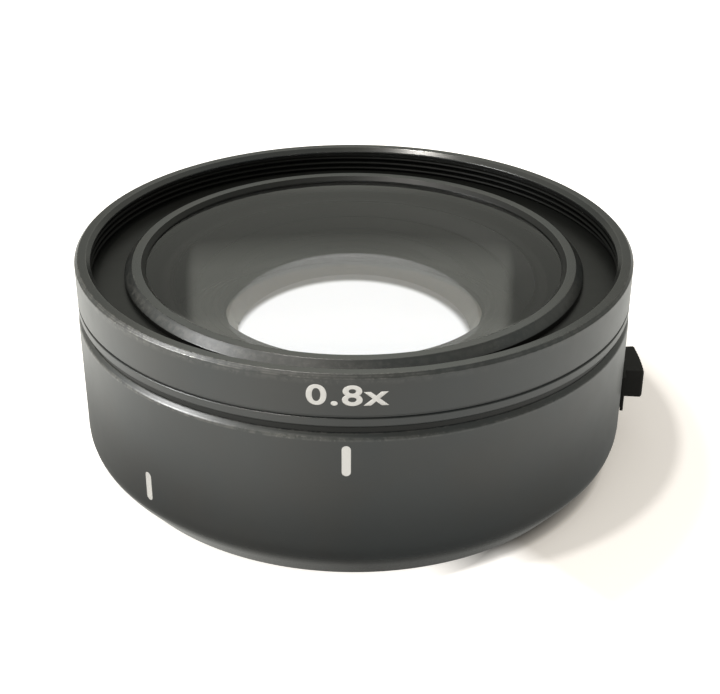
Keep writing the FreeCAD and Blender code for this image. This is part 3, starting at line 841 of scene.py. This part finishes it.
class LENS_OT_index_marks(bpy.types.Operator):
    """White paint in the two index marks"""
    bl_idname = "lens.index_marks"
    bl_label = "Index marks"

    def execute(self, context):
        s = sizes()
        face, back = s.lower_radius - 0.03 * MM, s.lower_radius - 0.14 * MM
        outline = stadium(s.mark_width / MM, s.mark_length / MM, 12)
        bm = bmesh.new()
        for azimuth, z in INDEX_MARKS:
            rings = []
            for radius in (face, back):
                angles = [math.radians(azimuth) + u * MM / s.lower_radius for u, _ in outline]
                rings.append([bm.verts.new((radius * math.cos(a), radius * math.sin(a), (z + v) * MM))
                              for a, (_, v) in zip(angles, outline)])
            front, rear = rings
            bm.faces.new(front)
            bm.faces.new(rear[::-1])
            for i in range(len(front)):
                bm.faces.new((front[i], front[i - 1], rear[i - 1], rear[i]))
        bmesh.ops.recalc_face_normals(bm, faces=bm.faces)
        mesh = mesh_from(bm, "index_mark_paint")
        dress(mesh, ("paint",))
        seat(mesh_object("index_mark_paint", mesh), "barrel", None)
        return {"FINISHED"}


class LENS_OT_print(bpy.types.Operator):
    """Magnification figures printed on the front barrel"""
    bl_idname = "lens.figures"
    bl_label = "Printed figures"

    def execute(self, context):
        s = sizes()
        text = bpy.data.curves.new("figures", "FONT")
        text.body = s.print_text
        text.align_x, text.align_y = "CENTER", "CENTER"
        text.size = 1.0
        text.offset = 0.022
        text.space_character = 1.12
        text.resolution_u = 8
        holder = bpy.data.objects.new("figures", text)
        bpy.context.scene.collection.objects.link(holder)
        mesh = evaluated_mesh(holder)
        bpy.data.objects.remove(holder)
        bm = bmesh.new()
        bm.from_mesh(mesh)
        low = min(v.co.y for v in bm.verts)
        high = max(v.co.y for v in bm.verts)
        rise, broad = s.print_height / (high - low), 1.35
        for v in bm.verts:
            v.co = Vector((v.co.x * rise * broad, (v.co.y - (low + high) / 2) * rise, 0.0))
        width, strips = max(v.co.x for v in bm.verts), 14
        for i in range(-strips, strips + 1):
            bmesh.ops.bisect_plane(bm, geom=bm.verts[:] + bm.edges[:] + bm.faces[:],
                                   plane_co=(width * i / strips, 0, 0), plane_no=(1, 0, 0))
        sheet = bmesh.ops.extrude_face_region(bm, geom=bm.faces[:])
        raised = {v for v in sheet["geom"] if isinstance(v, bmesh.types.BMVert)}
        middle, above, below = s.height - 3.1 * MM, 0.012 * MM, 0.02 * MM
        for v in bm.verts:
            radius = s.barrel_radius + (above if v in raised else -below)
            azimuth = math.radians(270.0) + v.co.x / s.barrel_radius
            v.co = Vector((radius * math.cos(azimuth), radius * math.sin(azimuth), middle + v.co.y))
        bm.normal_update()
        bmesh.ops.recalc_face_normals(bm, faces=bm.faces)
        bm.to_mesh(mesh)
        bm.free()
        dress(mesh, ("paint",))
        seat(mesh_object("printed_figures", mesh), "barrel", None)
        return {"FINISHED"}


class LENS_OT_bayonet(bpy.types.Operator):
    """Rear bayonet ring with its three entry gaps, and its screws"""
    bl_idname = "lens.bayonet"
    bl_label = "Rear bayonet"

    def execute(self, context):
        bore, outer = 36.5, 39.8
        ring = turned("bayonet_ring_shell", [
            corner(bore, 0.0, 0.1), corner(outer, 0.0, 0.06), corner(outer, BAYONET_THICK),
            corner(bore, BAYONET_THICK, 0.1)], ("chrome",))
        gaps = [prism(sector_outline(35.0, 37.9, a - 14, a + 14), Matrix.Translation((0, 0, -1)), 4.2)
                for a in ENTRY_GAPS]
        first = FIRST_BAYONET_SCREW
        seats = [prism(ring_points(1.0), upright(a, BAYONET_CIRCLE, -0.5), 1.05)
                 for a in range(first, first + 360, 60)]
        seat(cut_away(ring, gaps + seats), "barrel", "satin_chrome", "bayonet_ring")
        tree = ring_tree()
        self.screws("bayonet_screw", 6, tree, first, BAYONET_CIRCLE, 0.0, 0.94, 0.5)
        self.screws("cell_screw", 3, tree, CELL_SCREWS[0], CELL_CIRCLE, web_face(), 1.48, 0.8)
        return {"FINISHED"}

    def screws(self, name, count, tree, first, circle, height, radius, thick):
        """A circle of screw heads that stand for the numbered solids of that name."""
        sample = screw_head("screw_sample", radius, thick)
        heads = baked(name + "_heads", tree, {
            "Piece": sample, "Count": count, "Radius": circle * MM, "First Angle": math.radians(first),
            "Height": height * MM, "Finish": material("steel")})
        bpy.data.objects.remove(sample)
        seat(heads, "barrel", "satin_steel", *[f"{name}_{i}" for i in range(1, count + 1)])


def screw_head(name, radius, thick):
    """A slotted screw head that looks down, its outer face at height 0."""
    head = turned(name, [corner(0.0, thick), corner(radius, thick), corner(radius, 0.0, 0.08), corner(0.0, 0.0)],
                  ("steel",))
    slot = prism(rectangle(4.0, 0.32), Matrix.Translation((0, 0, -0.5)), 0.5 + 0.5 * thick)
    return cut_away(head, [slot])


class LENS_OT_release_gear(bpy.types.Operator):
    """Finish of the release lever and of the gear that it works"""
    bl_idname = "lens.release_gear"
    bl_label = "Release gear"

    def execute(self, context):
        shown = {"release_lever": "lever", "lever_slider": "steel", "lever_screw": "steel", "lock_pin": "steel",
                 "pin_spring": "steel", "pin_bracket": "steel", "bracket_screw_1": "steel",
                 "bracket_screw_2": "steel", "stop_pin": "steel"}
        for node, key in shown.items():
            frame["nodes"][node].data.materials.clear()
            frame["nodes"][node].data.materials.append(material(key))
        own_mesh(frame["nodes"]["pin_spring"])
        return {"FINISHED"}


class LENS_OT_stage(bpy.types.Operator):
    """Table, light and camera"""
    bl_idname = "lens.stage"
    bl_label = "Stage"

    def execute(self, context):
        studio = context.scene.lens_studio
        self.table()
        self.lights(studio)
        self.camera(studio)
        context.scene.view_settings.view_transform = "Standard"
        return {"FINISHED"}

    def table(self):
        bm = bmesh.new()
        bmesh.ops.create_grid(bm, x_segments=1, y_segments=1, size=TABLE_HALF)
        mesh = mesh_from(bm, "table")
        finish, tree = new_material("white_table_paper")
        path = add_node(tree, "ShaderNodeLightPath").outputs
        place = add_node(tree, "ShaderNodeTexCoord").outputs["Object"]
        reach = span(tree, vector_maths(tree, "LENGTH", place), 0.0, TABLE_REACH)
        direction = vector_maths(tree, "NORMALIZE", place)
        seen = self.seen_table_with_painted_shadow(tree, path["Is Camera Ray"], reach, direction)
        painted_reflection = self.painted_table_reflection(tree, place, reach, direction)
        # Painted light: seen through the glass the table glows white in a disc, with a painted shadow of the rear
        # ring beyond it
        from_disc = span(tree, vector_maths(tree, "DISTANCE", place, DISC_CENTRE), 0.0, TABLE_REACH)
        lit_disc = glow(tree, WHITE, ramp(tree, from_disc, [(0.222, 1.0), (0.236, 0.09)]))
        sheet = switch(tree, path["Is Glossy Ray"], seen, painted_reflection)
        close_material(tree, switch(tree, path["Is Transmission Ray"], sheet, lit_disc))
        mesh.materials.append(finish)
        mesh_object("table", mesh)

    def seen_table_with_painted_shadow(self, tree, camera_ray, reach, direction):
        """Paper with a painted contact shadow under the overhang on the shadow side, and for the camera a glow that
        lifts it towards white, dimmer on the shadow side near the lens, which paints the shadow there.
        """
        shadow_side = vector_maths(tree, "DOT_PRODUCT", direction, SHADOW_SIDE)
        # Painted shadow: under the overhang and on the shadow side the paper turns grey and loses its glow
        painted_overhang_shadow = ramp(tree, reach, [(0.405, 0.08), (0.425, 0.45), (0.437, 1.0)])
        painted_contact_shadow = maths(tree, "MAXIMUM", painted_overhang_shadow, ramp(tree, shadow_side, [(0.15, 1.0), (0.45, 0.0)]))
        paper = add_node(tree, "ShaderNodeBsdfDiffuse",
                         {"Color": blend(tree, painted_contact_shadow, linear("6a6864"), finishes().floor)})
        painted_shadow_lift_tone = ramp(tree, shadow_side, [(0.42, linear("f2eee8")), (0.53, linear("8b8479"))])
        open_floor = ramp(tree, reach, [(0.6, 0.0), (0.72, 1.0)])
        lift = glow(tree, blend(tree, open_floor, painted_shadow_lift_tone, linear("f2eee8")),
                    maths(tree, "MULTIPLY", camera_ray, painted_contact_shadow))
        return add_node(tree, "ShaderNodeAddShader", {0: paper.outputs[0], 1: lift}).outputs[0]

    def painted_table_reflection(self, tree, place, reach, direction):
        """Painted reflection: how bright the table glows in the finish's reflections, dim near the lens, brighter far
        off and to the left, and glowing beneath the base towards the left.
        """
        open_table = ramp(tree, reach, [(0.5, 0.2), (0.6, 0.3), (0.7, 0.63), (0.82, 0.86), (1.0, 0.86)])
        leftward = span(tree, vector_maths(tree, "DOT_PRODUCT", direction, (-1.0, 0.0, 0.0)), -1.0, 1.0)
        lit = ramp(tree, leftward,
                   [(0.0, 0.72), (0.25, 0.58), (0.5, 0.53), (0.75, 0.78), (0.93, 0.84), (1.0, 1.0)])
        outside = maths(tree, "MULTIPLY", open_table, lit)
        across = add_node(tree, "ShaderNodeSeparateXYZ", {"Vector": place}).outputs["X"]
        painted_glow_beneath = maths(tree, "MULTIPLY", ramp(tree, reach, [(0.44, 1.0), (0.5, 0.0)]),
                        span(tree, across, -0.03, 0.018, 0.3, 0.02))
        strength = maths(tree, "MULTIPLY", maths(tree, "MAXIMUM", outside, painted_glow_beneath), 2.2)
        return glow(tree, linear("fffff8"), strength)

    def lights(self, studio):
        world = bpy.data.worlds.new("white_studio")
        bpy.context.scene.world = world
        world.use_nodes = True
        tree = world.node_tree
        tree.nodes.clear()
        path = add_node(tree, "ShaderNodeLightPath").outputs
        seen = maths(tree, "MAXIMUM", path["Is Camera Ray"], path["Is Transmission Ray"])
        way = add_node(tree, "ShaderNodeTexCoord").outputs["Generated"]
        fill = span(tree, vector_maths(tree, "DOT_PRODUCT", way, FRONT_LIGHT), -1.0, 1.0,
                    0.42 * studio.sky, 1.58 * studio.sky)
        even = glow(tree, linear("fffcf8"), fill, "ShaderNodeBackground")
        walls = glow(tree, linear("fdfff3"), self.room(tree, way), "ShaderNodeBackground")
        white = glow(tree, WHITE, 1.0, "ShaderNodeBackground")
        gloss = switch(tree, path["Is Glossy Ray"], even, walls)
        add_node(tree, "ShaderNodeOutputWorld", {"Surface": switch(tree, seen, gloss, white)})
        self.area("key_lamp", 208.0, 72.0, 0.9, 0.06, studio.key, "fffaf4")
        self.area("left_lamp", 198.0, 29.0, 0.5, 0.15, studio.accent, "ffffff").visible_diffuse = False

    def room(self, tree, way):
        """The room's brightness in the finish's reflections: a lit left side, and a far wall with a window."""
        left = ramp(tree, vector_maths(tree, "DOT_PRODUCT", way, LEFT_WALL), [(0.2, 0.35), (0.5, 0.7), (0.75, 1.0)])
        axes = add_node(tree, "ShaderNodeSeparateXYZ", {"Vector": way}).outputs
        far_wall = ramp(tree, axes["Z"], [(0.12, 0.08), (0.27, 0.52), (0.33, 0.14), (0.38, 0.36), (0.43, 0.78),
                                          (0.5, 0.92), (0.52, 1.15)])
        aside = maths(tree, "ABSOLUTE", maths(tree, "SUBTRACT", axes["X"], WINDOW_CENTRE))
        window = ramp(tree, aside, [(0.143, 1.0), (0.153, 0.4)])
        low_wall = ramp(tree, axes["Z"], [(0.36, 1.0), (0.46, 0.0)])
        wall = maths(tree, "MULTIPLY", far_wall, maths(tree, "MAXIMUM", window, low_wall))
        behind = span(tree, axes["Y"], -0.35, 0.1)
        return maths(tree, "MAXIMUM", left, maths(tree, "MULTIPLY", behind, wall))

    def towards(self, azimuth, elevation):
        """The direction of that azimuth and elevation in radians."""
        return Vector((math.cos(azimuth) * math.cos(elevation), math.sin(azimuth) * math.cos(elevation),
                       math.sin(elevation)))

    def area(self, name, azimuth, elevation, distance, size, power, hex_code):
        """A round lamp aimed at the lens; glass doesn't show it through."""
        lamp = bpy.data.lights.new(name, "AREA")
        lamp.shape = "DISK"
        lamp.size = size
        lamp.energy = power
        lamp.color = linear(hex_code)[:3]
        obj = bpy.data.objects.new(name, lamp)
        bpy.context.scene.collection.objects.link(obj)
        way = self.towards(math.radians(azimuth), math.radians(elevation))
        obj.location = way * distance + Vector((0, 0, 0.02))
        obj.rotation_euler = way.to_track_quat("Z", "Y").to_euler()
        obj.visible_transmission = False
        return obj

    def camera(self, studio):
        a = studio.azimuth
        back = self.towards(a, studio.elevation)
        forward = -back
        right = Vector((-math.sin(a), math.cos(a), 0.0))
        up = right.cross(forward)
        for axis, angle in (("right", studio.pitch), ("up", studio.yaw), ("forward", studio.roll)):
            about = {"right": right, "up": up, "forward": forward}[axis].copy()
            turn = Matrix.Rotation(angle, 3, about)
            right, up, forward = turn @ right, turn @ up, turn @ forward
        data = bpy.data.cameras.new("camera")
        data.sensor_width = 36.0
        data.lens = studio.focal
        data.clip_start, data.clip_end = 0.01, 20.0
        camera = bpy.data.objects.new("camera", data)
        bpy.context.scene.collection.objects.link(camera)
        pose = Matrix((right, up, -forward)).transposed().to_4x4()
        camera.matrix_world = Matrix.Translation(back * studio.distance) @ pose
        bpy.context.scene.camera = camera


OPERATORS = (LENS_OT_front_barrel, LENS_OT_filter_thread, LENS_OT_front_ring, LENS_OT_glass, LENS_OT_inner_rings,
             LENS_OT_lower_barrel, LENS_OT_index_marks, LENS_OT_print, LENS_OT_bayonet, LENS_OT_release_gear,
             LENS_OT_stage)


class LENS_PT_panel(bpy.types.Panel):
    """Lists the lens's pieces and settings"""
    bl_idname = "LENS_PT_panel"
    bl_label = "Wide conversion lens"
    bl_space_type = "VIEW_3D"
    bl_region_type = "UI"
    bl_category = "Lens"

    def draw(self, context):
        for operator in OPERATORS:
            self.layout.operator(operator.bl_idname)
        for group in (context.scene.lens_sizes, context.scene.lens_finishes, context.scene.lens_studio):
            box = self.layout.box()
            for name in group.__annotations__:
                box.prop(group, name)


CLASSES = (LENS_PG_sizes, LENS_PG_finishes, LENS_PG_studio) + OPERATORS + (LENS_PT_panel,)


def register():
    for cls in CLASSES:
        bpy.utils.register_class(cls)
    bpy.types.Scene.lens_sizes = PointerProperty(type=LENS_PG_sizes)
    bpy.types.Scene.lens_finishes = PointerProperty(type=LENS_PG_finishes)
    bpy.types.Scene.lens_studio = PointerProperty(type=LENS_PG_studio)


def unregister():
    del bpy.types.Scene.lens_studio
    del bpy.types.Scene.lens_finishes
    del bpy.types.Scene.lens_sizes
    for cls in reversed(CLASSES):
        bpy.utils.unregister_class(cls)


def main():
    register()
    for operator in OPERATORS:
        group, name = operator.bl_idname.split(".")
        getattr(getattr(bpy.ops, group), name)()


if __name__ == "__main__":
    main()
